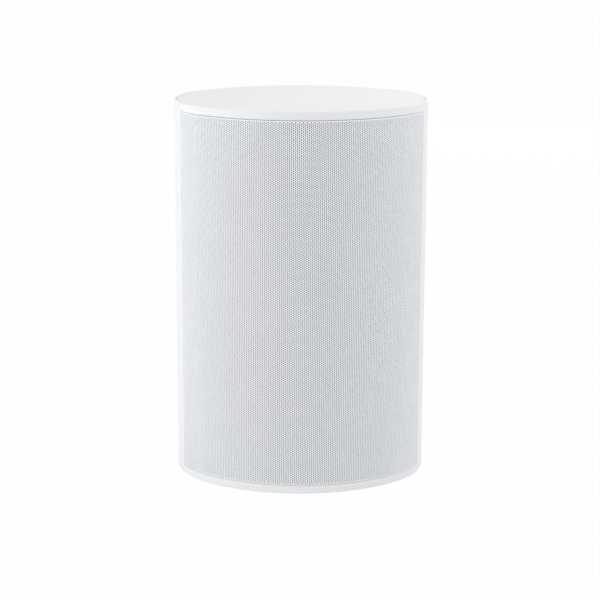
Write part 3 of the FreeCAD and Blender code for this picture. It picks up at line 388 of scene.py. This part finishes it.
finishes = {
    "white_shell": grained(
        "shell_white", (0.796, 0.806, 0.820), (0.816, 0.826, 0.840), rough=(0.64, 0.76),
        grain=0.45, depth=0.006, specular=0.35,
    ),
    "white_grille": grained(
        "grille_coat", (0.836, 0.853, 0.876), (0.851, 0.868, 0.892), rough=(0.52, 0.66),
        grain=0.25, depth=0.004,
    ),
    "white_panel": grained(
        "panel_white", (0.730, 0.737, 0.745), (0.760, 0.766, 0.774), rough=(0.52, 0.68),
        grain=0.35, depth=0.012,
    ),
    "white_keys": grained(
        "key_white", (0.660, 0.667, 0.675), (0.690, 0.697, 0.705), rough=(0.38, 0.48),
        grain=0.5, depth=0.004,
    ),
    "port_plastic": grained(
        "port_white", (0.720, 0.727, 0.735), (0.750, 0.757, 0.765), rough=(0.42, 0.55),
        grain=0.45, depth=0.006,
    ),
    "black_moulding": grained(
        "black_moulding", (0.014, 0.014, 0.015), (0.024, 0.024, 0.026), rough=(0.50, 0.68),
        grain=0.35, depth=0.012,
    ),
    "rubber": grained(
        "black_rubber", (0.018, 0.018, 0.018), (0.030, 0.030, 0.030), rough=(0.78, 0.92),
        grain=0.3, depth=0.010, specular=0.3,
    ),
    "cone_paper": grained(
        "cone_paper", (0.016, 0.016, 0.018), (0.036, 0.036, 0.038), rough=(0.75, 0.92),
        grain=0.9, depth=0.05, drift=8.0,
    ),
    "black_steel": grained(
        "basket_coat", (0.014, 0.014, 0.015), (0.024, 0.024, 0.025), rough=(0.38, 0.52),
        grain=0.6, depth=0.010,
    ),
    "screw_steel": grained(
        "blackened_steel", (0.10, 0.10, 0.105), (0.16, 0.16, 0.165), rough=(0.32, 0.45),
        grain=0.5, depth=0.004, metal=1.0,
    ),
    "ferrite": grained(
        "ferrite_grey", (0.040, 0.040, 0.042), (0.075, 0.075, 0.078), rough=(0.62, 0.80),
        grain=0.5, depth=0.02, drift=6.0,
    ),
    "tin_can": grained(
        "tinned_can", (0.60, 0.60, 0.61), (0.72, 0.72, 0.73), rough=(0.28, 0.40),
        grain=1.2, depth=0.006, drift=5.0, metal=1.0,
    ),
    "capacitor_sleeve": grained(
        "capacitor_sleeve", (0.010, 0.010, 0.018), (0.020, 0.020, 0.032), rough=(0.22, 0.32),
        grain=1.5, depth=0.006,
    ),
    "heat_sink_metal": grained(
        "extruded_metal", (0.58, 0.58, 0.60), (0.70, 0.70, 0.72), rough=(0.38, 0.50),
        grain=0.7, depth=0.008, drift=4.0, metal=1.0,
    ),
    "wire_sleeve": grained(
        "wire_sleeve", (0.30, 0.015, 0.012), (0.42, 0.03, 0.025), rough=(0.42, 0.55),
        grain=0.8, depth=0.01, drift=9.0,
    ),
    "acoustic_cloth": woven(
        "acoustic_cloth", (0.008, 0.012, 0.020), (0.045, 0.062, 0.090), pitch=0.42, depth=0.05
    ),
    "plated_steel": lathed(
        "plated_steel", (0.46, 0.46, 0.47), (0.66, 0.66, 0.67), rough=(0.28, 0.42),
        axis_height=middle("woofer_yoke")[1], pitch=0.30, depth=0.004,
    ),
    "insert_brass": lathed(
        "turned_brass", (0.58, 0.40, 0.16), (0.80, 0.60, 0.30), rough=(0.22, 0.36),
        axis_height=middle("bracket_insert")[1], pitch=0.18, depth=0.004,
    ),
    "felt": make_felt(),
    "copper_winding": make_winding(),
    "circuit_board": make_board_green(),
}

for subpart in frame["record"]["subparts"]:
    dressed = nodes[subpart["node"]]
    dressed.data.materials.clear()
    dressed.data.materials.append(finishes[subpart["material_slot"]])


# Pieces made here

def weld_corners(mesh, reach):
    """Joins the corners that meet within reach and turns the faces outwards."""
    welded = bmesh.new()
    welded.from_mesh(mesh)
    bmesh.ops.remove_doubles(welded, verts=welded.verts, dist=reach)
    bmesh.ops.recalc_face_normals(welded, faces=welded.faces)
    welded.to_mesh(mesh)
    welded.free()


def new_piece(name, corners, faces, slot, body="housing", weld=True):
    """A piece from corners (m) and faces, smooth up to a crease. With no body it is left without one."""
    mesh = bpy.data.meshes.new(name)
    mesh.from_pydata(corners, [], faces)
    if weld:
        weld_corners(mesh, WELD_REACH)
    mesh.materials.append(finishes[slot])
    mesh.shade_smooth()
    mesh.set_sharp_from_angle(angle=CREASE)
    piece = bpy.data.objects.new(name, mesh)
    bpy.context.scene.collection.objects.link(piece)
    if body:
        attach(piece, body)
    return piece


# The perforated grille

grille_low, grille_high = corners_of("front_grille")
SHEET_FRONT = -grille_high.y
SHEET_LOW = grille_low.z
SHEET_HIGH = grille_high.z
SHEET_MIDDLE = (SHEET_LOW + SHEET_HIGH) / 2
EDGE_ANGLE = math.acos(SHEET_FRONT / (SIDE_RADIUS - SHEET_INSET))
ARC_END = (FACE_RADIUS - SHEET_INSET) * ARC_JOIN + (SIDE_RADIUS - SHEET_INSET) * (EDGE_ANGLE - ARC_JOIN)

# The pattern of six-sided cells, one round each hole, is counted in half cells
CELL_STEP = HOLE_PITCH / math.sqrt(3.0) / 2
COLUMN_GAP = 3
CELL_REACH = 2
OUTER_COLUMN = int(((ARC_END - HEM_BEND) / CELL_STEP - CELL_REACH) / COLUMN_GAP)
HOLE_ROWS = int((SHEET_HIGH - SHEET_LOW - 2 * HEM_BEND) / HOLE_PITCH)
TOP_CELL = 2 * (HOLE_ROWS - 1)
CORNER_STEPS = np.array([(CELL_REACH, 0), (1, 1), (-1, 1), (-CELL_REACH, 0), (-1, -1), (1, -1)])


def on_sheet(along, up, deep):
    """Points (m) of the rolled sheet from the way along its arc, height and depth behind its face (mm)."""
    face = FACE_RADIUS - SHEET_INSET
    side = SIDE_RADIUS - SHEET_INSET
    reach = np.abs(along)
    flat = reach <= face * ARC_JOIN
    angle = np.where(flat, reach / face, ARC_JOIN + (reach - face * ARC_JOIN) / side)
    radius = np.where(flat, face, side) - deep
    x = np.sign(along) * (np.where(flat, 0.0, END_CENTRE) + radius * np.sin(angle))
    y = np.where(flat, FACE_CENTRE, 0.0) - radius * np.cos(angle)
    return np.stack([x, y, up + 0.0 * x], -1) * MM


def lattice_place(step):
    """Way along and height (mm) of a corner of the hole pattern, counted in half cells."""
    step = np.asarray(step, float)
    return step[..., 0] * CELL_STEP, SHEET_MIDDLE + (step[..., 1] - TOP_CELL / 2) * HOLE_PITCH / 2


def hole_rims(cells, share):
    """Way along and height (mm) of the corners round each hole, at a share of its radius."""
    along, up = lattice_place(cells)
    turn = np.arange(HOLE_SIDES) * 2 * math.pi / HOLE_SIDES
    area = math.pi * HOLE_SIZE**2 / 4
    radius = share * math.sqrt(2 * area / (HOLE_SIDES * math.sin(2 * math.pi / HOLE_SIDES)))
    return (along[:, None] + radius * np.cos(turn)).ravel(), (up[:, None] + radius * np.sin(turn)).ravel()


def lay_flat(mesh, along, up):
    """Gives each corner its place on a flat map of the piece, for finishes that are baked."""
    places = np.stack([np.concatenate(along), np.concatenate(up)], -1)
    places = (places - places.min(0)) / (places.max(0) - places.min(0))
    spots = np.zeros(len(mesh.loops), int)
    mesh.loops.foreach_get("vertex_index", spots)
    mesh.uv_layers.new(name="OFBake").data.foreach_set("uv", places[spots].astype(np.float32).ravel())


def perforated_strip(name, columns):
    """Hexagonal cells round punched holes. Each has a face ring and a wall through the sheet."""
    cells = np.array([
        (COLUMN_GAP * j, b) for j in columns for b in range(j % 2, TOP_CELL + 1 - j % 2, 2)
    ])
    steps = cells[:, None, :] + CORNER_STEPS[None]
    corners, index = np.unique(steps.reshape(-1, 2), axis=0, return_inverse=True)
    index = index.reshape(-1, HOLE_SIDES)
    along, up = lattice_place(corners)
    rim_along, rim_up = hole_rims(cells, 1.0)
    points = np.concatenate([
        on_sheet(along, up, 0.0),
        on_sheet(rim_along, rim_up, 0.0),
        on_sheet(rim_along, rim_up, SHEET_THICK),
    ])
    rim = len(corners) + np.arange(len(rim_along)).reshape(-1, HOLE_SIDES)
    back = rim + len(rim_along)
    following = np.roll(np.arange(HOLE_SIDES), -1)
    ring = np.stack([index, index[:, following], rim[:, following], rim], -1).reshape(-1, 4)
    wall = np.stack([rim, rim[:, following], back[:, following], back], -1).reshape(-1, 4)
    piece = new_piece(name, points, np.concatenate([ring, wall]), "white_grille", weld=False)
    wall_along, wall_up = hole_rims(cells, MAP_WALL)
    lay_flat(piece.data, [along, rim_along, wall_along], [up, rim_up, wall_up])
    return piece


def pattern_outline():
    """The zigzag edge of the hole pattern, side by side, in half cells, clockwise from the top left."""
    far = COLUMN_GAP * OUTER_COLUMN
    odd = OUTER_COLUMN % 2
    top = []
    for j in range(-OUTER_COLUMN, OUTER_COLUMN + 1):
        crest = TOP_CELL + 1 - j % 2
        top += [(COLUMN_GAP * j - 1, crest), (COLUMN_GAP * j + 1, crest)]
    right = [(far + 1 + (b + 1 + odd) % 2, b) for b in range(TOP_CELL + 1 - odd, odd - 2, -1)]
    bottom = [(-a, TOP_CELL - b) for a, b in top]
    left = [(-a, TOP_CELL - b) for a, b in right]
    return [top, right, bottom, left]


def hem_loops():
    """The pattern's edge, the sheet's edge before its bend, and the way outwards, point by point."""
    ways = [(0, 1), (1, 0), (0, -1), (-1, 0)]
    half_high = (SHEET_HIGH - SHEET_LOW) / 2 - HEM_BEND
    half_long = ARC_END - HEM_BEND
    zigzag = []
    square = []
    out = []
    for side, way, next_way in zip(pattern_outline(), ways, ways[1:] + ways[:1]):
        for step in side:
            along, up = lattice_place(step)
            edge_along = way[0] * half_long if way[0] else along
            edge_up = SHEET_MIDDLE + way[1] * half_high if way[1] else up
            zigzag.append((along, up))
            square.append((edge_along, edge_up))
            out.append(way)
        corner = (way[0] + next_way[0], way[1] + next_way[1])
        zigzag.append(zigzag[-1])
        square.append((corner[0] * half_long, SHEET_MIDDLE + corner[1] * half_high))
        out.append(corner)
    return np.array(zigzag, float), np.array(square, float), np.array(out, float)


def grille_hem():
    """The plain margin round the holes, its rounded bend and the hem turned in behind it."""
    zigzag, square, out = hem_loops()
    bends = np.linspace(0, math.pi / 2, HEM_STEPS + 1)
    path = [(HEM_BEND * math.sin(a), HEM_BEND * (1 - math.cos(a))) for a in bends]
    inside = HEM_BEND - SHEET_THICK
    path += [(HEM_BEND, HEM_DEEP), (inside, HEM_DEEP), (inside, SHEET_THICK)]
    rows = [on_sheet(zigzag[:, 0], zigzag[:, 1], 0.0)]
    for outward, deep in path:
        places = square + out * outward
        row = on_sheet(places[:, 0], places[:, 1], deep)
        row[:, 1] = np.minimum(row[:, 1], -(SHEET_FRONT + HEM_BEND - outward) * MM)
        rows.append(row)
    count = len(square)
    here = np.arange(count)
    ahead = np.roll(here, -1)
    faces = [
        (r * count + a, (r + 1) * count + a, (r + 1) * count + b, r * count + b)
        for r in range(len(rows) - 1)
        for a, b in zip(here, ahead)
    ]
    return new_piece("grille_hem", np.concatenate(rows), faces, "white_grille")


all_columns = np.arange(-OUTER_COLUMN, OUTER_COLUMN + 1)
for number, share in enumerate(np.array_split(all_columns, SHEET_STRIPS), 1):
    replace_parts(perforated_strip(f"grille_sheet_{number}", [int(j) for j in share]), "front_grille")
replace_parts(grille_hem(), "front_grille")


# The woofer's suspension, cut into sectors

def ring_sector(mesh, axis, turn, half):
    """Corners (m) and faces of a ring's wedge, which spans half (radians) to either side of a turn."""
    wedge = bmesh.new()
    wedge.from_mesh(mesh)
    for way in (-1, 1):
        edge = turn + way * half
        outward = (-way * math.sin(edge), 0.0, way * math.cos(edge))
        everything = wedge.verts[:] + wedge.edges[:] + wedge.faces[:]
        bmesh.ops.bisect_plane(wedge, geom=everything, plane_co=axis, plane_no=outward, clear_outer=True)
    wedge.verts.index_update()
    corners = [tuple(vertex.co) for vertex in wedge.verts]
    faces = [[vertex.index for vertex in face.verts] for face in wedge.faces]
    wedge.free()
    return corners, faces


def flexing_ring(node, slot):
    """Cuts a ring into sectors round its axis, each a piece without a body that stands in for the node."""
    x, z, _ = middle(node)
    axis = Vector((x, 0.0, z)) * MM
    half = math.pi / SUSPENSION_SECTORS
    for k in range(SUSPENSION_SECTORS):
        turn = 2 * half * k
        corners, faces = ring_sector(nodes[node].data, axis, turn, half)
        sector = new_piece(f"{node}_{k + 1}", corners, faces, slot, body=None)
        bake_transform(sector)
        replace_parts(sector, node)


flexing_ring("woofer_surround", "rubber")
flexing_ring("woofer_spider", "acoustic_cloth")


# Shapes for the details on the back, each as corners and faces (mm)

def joined(shapes):
    """Corners (m) and faces of several shapes (mm) as one."""
    corners = []
    faces = []
    for points, sides in shapes:
        faces += [[len(corners) + i for i in side] for side in sides]
        corners += [tuple(value * MM for value in point) for point in points]
    return corners, faces


def moved(shape, x, y, z):
    return [(p[0] + x, p[1] + y, p[2] + z) for p in shape[0]], shape[1]


def ring_faces(rings, steps, closed=False):
    """Faces between rings of points that follow one another. A closed set joins the last to the first."""
    faces = []
    for r in range(rings if closed else rings - 1):
        near = r * steps
        far = (r + 1) % rings * steps
        for k in range(steps):
            ahead = (k + 1) % steps
            faces.append([near + k, near + ahead, far + ahead, far + k])
    return faces


def turned(profile, steps):
    """A solid turned about the Y axis from (radius, y) pairs that start and end on the axis."""
    turns = [2 * math.pi * k / steps for k in range(steps)]
    points = [(r * math.cos(a), y, r * math.sin(a)) for r, y in profile for a in turns]
    return points, ring_faces(len(profile), steps)


def prism(outline, low, high, across=False):
    """A flat outline drawn out: (x, z) pairs from y low to high, or (y, z) pairs from x low to high."""
    count = len(outline)
    points = [(d, a, b) if across else (a, d, b) for d in (low, high) for a, b in outline]
    faces = [list(range(count)), list(range(2 * count - 1, count - 1, -1))]
    faces += [[k, count + k, count + (k + 1) % count, (k + 1) % count] for k in range(count)]
    return points, faces


def arc(radius, start, end, steps=32):
    turns = [math.radians(start + (end - start) * k / steps) for k in range(steps + 1)]
    return [(radius * math.cos(a), radius * math.sin(a)) for a in turns]


def arc_band(inner, outer, start, end):
    return arc(outer, start, end) + arc(inner, end, start)


def plain_bar(wide, low, high):
    return [(-wide / 2, low), (wide / 2, low), (wide / 2, high), (-wide / 2, high)]


def cross_outline(arm, half):
    """A plus with the given arm length and half width of its arms."""
    quarter = [(half, half), (half, arm), (-half, arm)]
    turns = [(1, 0, 0, 1), (0, -1, 1, 0), (-1, 0, 0, -1), (0, 1, -1, 0)]
    return [(c * x + d * z, e * x + f * z) for c, d, e, f in turns for x, z in quarter]


def cut_mesh(shape, tool):
    """One shape less another."""
    bodies = []
    for name, (points, sides) in (("blank", shape), ("tool", tool)):
        mesh = bpy.data.meshes.new(name)
        mesh.from_pydata(points, [], sides)
        weld_corners(mesh, RECESS_WELD)
        bodies.append(bpy.data.objects.new(name, mesh))
        bpy.context.scene.collection.objects.link(bodies[-1])
    blank, cutter = bodies
    recess = blank.modifiers.new("recess", "BOOLEAN")
    recess.object = cutter
    recess.operation = "DIFFERENCE"
    recess.solver = "EXACT"
    result = bpy.data.meshes.new_from_object(blank.evaluated_get(bpy.context.evaluated_depsgraph_get()))
    points = [tuple(vertex.co) for vertex in result.vertices]
    sides = [list(face.vertices) for face in result.polygons]
    for body in bodies:
        bpy.data.objects.remove(body)
    bpy.data.meshes.remove(result)
    return points, sides


# Details on the back

def cross_recess():
    """A driver's cross that narrows towards its foot."""
    foot = SCREW_HEAD_TALL - RECESS_DEEP
    points, faces = prism(cross_outline(RECESS_ARM, RECESS_HALF), foot, SCREW_HEAD_TALL + RECESS_OVER)
    narrow = [(x, foot, z) for x, z in cross_outline(RECESS_FOOT_ARM, RECESS_FOOT_HALF)]
    return narrow + points[len(narrow):], faces


def panel_screws():
    """Domed screws with a cross recess, one for each in the rear panel."""
    low, high = corners_of("rear_panel_screws")
    rise = SCREW_HEAD_TALL / 2
    ball = (SCREW_HEAD**2 + rise**2) / (2 * rise)
    seat = high.y - SCREW_HEAD_TALL
    end = low.y - seat
    radii = [SCREW_HEAD * k / DOME_STEPS for k in range(DOME_STEPS + 1)]
    dome = [(r, rise * 2 - ball + math.sqrt(ball**2 - r**2)) for r in radii]
    profile = dome + [(SCREW_HEAD, 0.0), (SCREW_SHANK, 0.0), (SCREW_SHANK, end), (0.0, end)]
    screw = cut_mesh(turned(profile, SCREW_SIDES), cross_recess())
    places = [
        (x, z)
        for x in (low.x + SCREW_HEAD, high.x - SCREW_HEAD)
        for z in (low.z + SCREW_HEAD, (low.z + high.z) / 2, high.z - SCREW_HEAD)
    ]
    shapes = [moved(screw, x, seat, z) for x, z in places]
    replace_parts(new_piece("panel_screws", *joined(shapes), "screw_steel"), "rear_panel_screws")


def thread_radius(y, share):
    """The bush's inner radius at a depth (y) and a share of a turn: a groove with sloping flanks."""
    turn = (y / THREAD_PITCH + share) % 1.0
    return THREAD_MINOR + THREAD_DEEP * min(1.0, max(0.0, THREAD_FLANK * (THREAD_HALF - abs(2 * turn - 1))))


def bracket_thread():
    """The brass bush with a real thread cut through it."""
    low, high = corners_of("bracket_insert")
    x, z, _ = middle("bracket_insert")
    outer = half_width("bracket_insert")
    groove_low = (low.y + high.y) / 2 - BUSH_GROOVE
    groove_high = (low.y + high.y) / 2 + BUSH_GROOVE
    shares = [k / BUSH_SIDES for k in range(BUSH_SIDES)]
    rows = int((high.y - low.y) / THREAD_STEP)
    depths = [low.y + (high.y - low.y) * r / rows for r in range(rows + 1)]
    rings = [[(thread_radius(y, share), y) for share in shares] for y in depths]
    outside = [
        (outer - BUSH_EDGE, high.y), (outer, high.y - BUSH_EDGE),
        (outer, groove_high), (outer - BUSH_GROOVE, groove_high),
        (outer - BUSH_GROOVE, groove_low), (outer, groove_low),
        (outer, low.y), (outer - BUSH_EDGE, low.y),
    ]
    rings += [[place] * BUSH_SIDES for place in outside]
    points = [
        (x + r * math.cos(2 * math.pi * share), y, z + r * math.sin(2 * math.pi * share))
        for ring in rings
        for share, (r, y) in zip(shares, ring)
    ]
    bush = (points, ring_faces(len(rings), BUSH_SIDES, closed=True))
    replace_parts(new_piece("bracket_thread", *joined([bush]), "insert_brass"), "bracket_insert")


def key_symbols():
    """A raised sign on each key that moves with it."""
    waves = [arc(WAVE_DOT, 0, 360)]
    waves += [arc_band(r, r + WAVE_WIDE, -WAVE_HALF_TURN, WAVE_HALF_TURN) for r in WAVE_RADII]
    minus = plain_bar(2 * VOLUME_HALF, -VOLUME_ARM, VOLUME_ARM)
    signs = {
        "power": [arc_band(*POWER_RING, *POWER_RING_ENDS), plain_bar(POWER_BAR_WIDE, *POWER_BAR_ENDS)],
        "pairing": [[(WAVE_SHIFT - x, z) for x, z in outline] for outline in waves],
        "volume_down": [[(z, x) for x, z in minus]],
        "volume_up": [cross_outline(VOLUME_ARM, VOLUME_HALF)],
    }
    for key, outlines in signs.items():
        x, z, face = middle(key + "_key")
        raised = [prism(outline, face - SIGN_SUNK, face + SIGN_RAISED) for outline in outlines]
        shapes = [moved(sign, x, 0.0, z) for sign in raised]
        new_piece(key + "_sign", *joined(shapes), "black_moulding", body=key + "_button")


def network_contacts():
    """Sprung contacts that slope down from the socket's roof."""
    x, z, mouth = middle("network_socket")
    far = corners_of("network_socket")[0].y + CONTACT_END
    roof = z + CONTACT_ROOF
    tip = z + CONTACT_TIP
    bend = mouth - CONTACT_BEND
    slope = [
        (mouth - CONTACT_START, roof), (bend, roof), (far, tip), (far, tip - CONTACT_TIP_THICK),
        (bend - CONTACT_UNDERCUT, roof - CONTACT_THICK),
    ]
    places = [x + CONTACT_PITCH * (k - (CONTACT_COUNT - 1) / 2) for k in range(CONTACT_COUNT)]
    shapes = [prism(slope, place - CONTACT_HALF, place + CONTACT_HALF, across=True) for place in places]
    new_piece("network_contacts", *joined(shapes), "insert_brass")


panel_screws()
bracket_thread()
key_symbols()
network_contacts()


# Floor, light and camera

def seen_rays(tree):
    """1 for what the camera sees straight on, in a reflection or through a clear surface."""
    path = put(tree, "LightPath").outputs
    shown = maths(tree, "MAXIMUM", path["Is Camera Ray"], path["Is Glossy Ray"])
    return maths(tree, "MAXIMUM", shown, path["Is Transmission Ray"])


def make_floor():
    """A pale floor that shows nearly white and keeps a trace of the shadow."""
    material, tree, shader = new_finish("pale_floor")
    effect = place_group(tree, moulded_grain, Grain_Size=4.0, Drift_Size=900.0)
    low = (FLOOR_DRIFT * FLOOR_TONE,) * 3
    high = (FLOOR_TONE,) * 3
    feed(tree, shader, "Base Color", between(tree, effect["Drift"], low, high))
    feed(tree, shader, "Roughness", spread(tree, effect["Speck"], 0.9, 1.0))
    shader.inputs["Specular IOR Level"].default_value = 0.0
    white = put(tree, "Emission", Color=WHITE, Strength=1.0)
    share = maths(tree, "MULTIPLY", seen_rays(tree), FLOOR_SHARE)
    mixed = put(tree, "MixShader", at0=share, at1=shader.outputs[0], at2=white.outputs[0])
    tree.links.new(mixed.outputs[0], tree.nodes["Material Output"].inputs["Surface"])
    mesh = bpy.data.meshes.new("floor")
    corners = [(x * FLOOR_HALF, y * FLOOR_HALF, 0.0) for x, y in ((-1, -1), (1, -1), (1, 1), (-1, 1))]
    mesh.from_pydata(corners, [], [(0, 1, 2, 3)])
    mesh.materials.append(material)
    floor = bpy.data.objects.new("floor", mesh)
    bpy.context.scene.collection.objects.link(floor)


def make_room():
    """A room that lights the part evenly and shows as plain white."""
    world = bpy.data.worlds.new("white_room")
    world.use_nodes = True
    tree = world.node_tree
    lit = tree.nodes["Background"]
    lit.inputs["Color"].default_value = WHITE
    lit.inputs["Strength"].default_value = ROOM_LEVEL
    shown = put(tree, "Background", Color=WHITE, Strength=1.0)
    mixed = put(tree, "MixShader", at0=seen_rays(tree), at1=lit.outputs[0], at2=shown.outputs[0])
    tree.links.new(mixed.outputs[0], tree.nodes["World Output"].inputs["Surface"])
    bpy.context.scene.world = world


def add_lamp(name, place, size, power):
    """A soft round lamp aimed at the part's middle."""
    lamp = bpy.data.lights.new(name, "AREA")
    lamp.shape = "DISK"
    lamp.size = size
    lamp.energy = power
    holder = bpy.data.objects.new(name, lamp)
    holder.location = place
    holder.rotation_mode = "QUATERNION"
    holder.rotation_quaternion = (LAMP_AIM - Vector(place)).to_track_quat("-Z", "Y")
    bpy.context.scene.collection.objects.link(holder)


def make_camera():
    lens = bpy.data.cameras.new("camera")
    lens.lens = CAMERA_LENS
    camera = bpy.data.objects.new("camera", lens)
    turn = Matrix.Rotation(-CAMERA_SIDE, 4, "Z")
    place = Matrix.Translation((0, -CAMERA_REACH, CAMERA_HEIGHT)) @ Matrix.Rotation(CAMERA_PAN, 4, "Z")
    aim = Matrix.Rotation(math.pi / 2 - CAMERA_PITCH, 4, "X") @ Matrix.Rotation(CAMERA_ROLL, 4, "Z")
    camera.matrix_world = turn @ place @ aim
    bpy.context.scene.collection.objects.link(camera)
    bpy.context.scene.camera = camera


make_floor()
make_room()
add_lamp("left_lamp", (-1.2, -0.3, 0.45), size=1.4, power=6.6)
add_lamp("front_lamp", (-1.0, -0.9, 0.4), size=1.4, power=6.5)
add_lamp("right_lamp", (0.9, -0.2, 1.0), size=0.9, power=8.8)
add_lamp("back_lamp", (0.3, 0.7, 0.9), size=0.6, power=0.8)
add_lamp("rear_lamp", (0.25, 1.3, 0.22), size=0.6, power=2.4)
make_camera()
bpy.context.scene.view_settings.view_transform = "Standard"
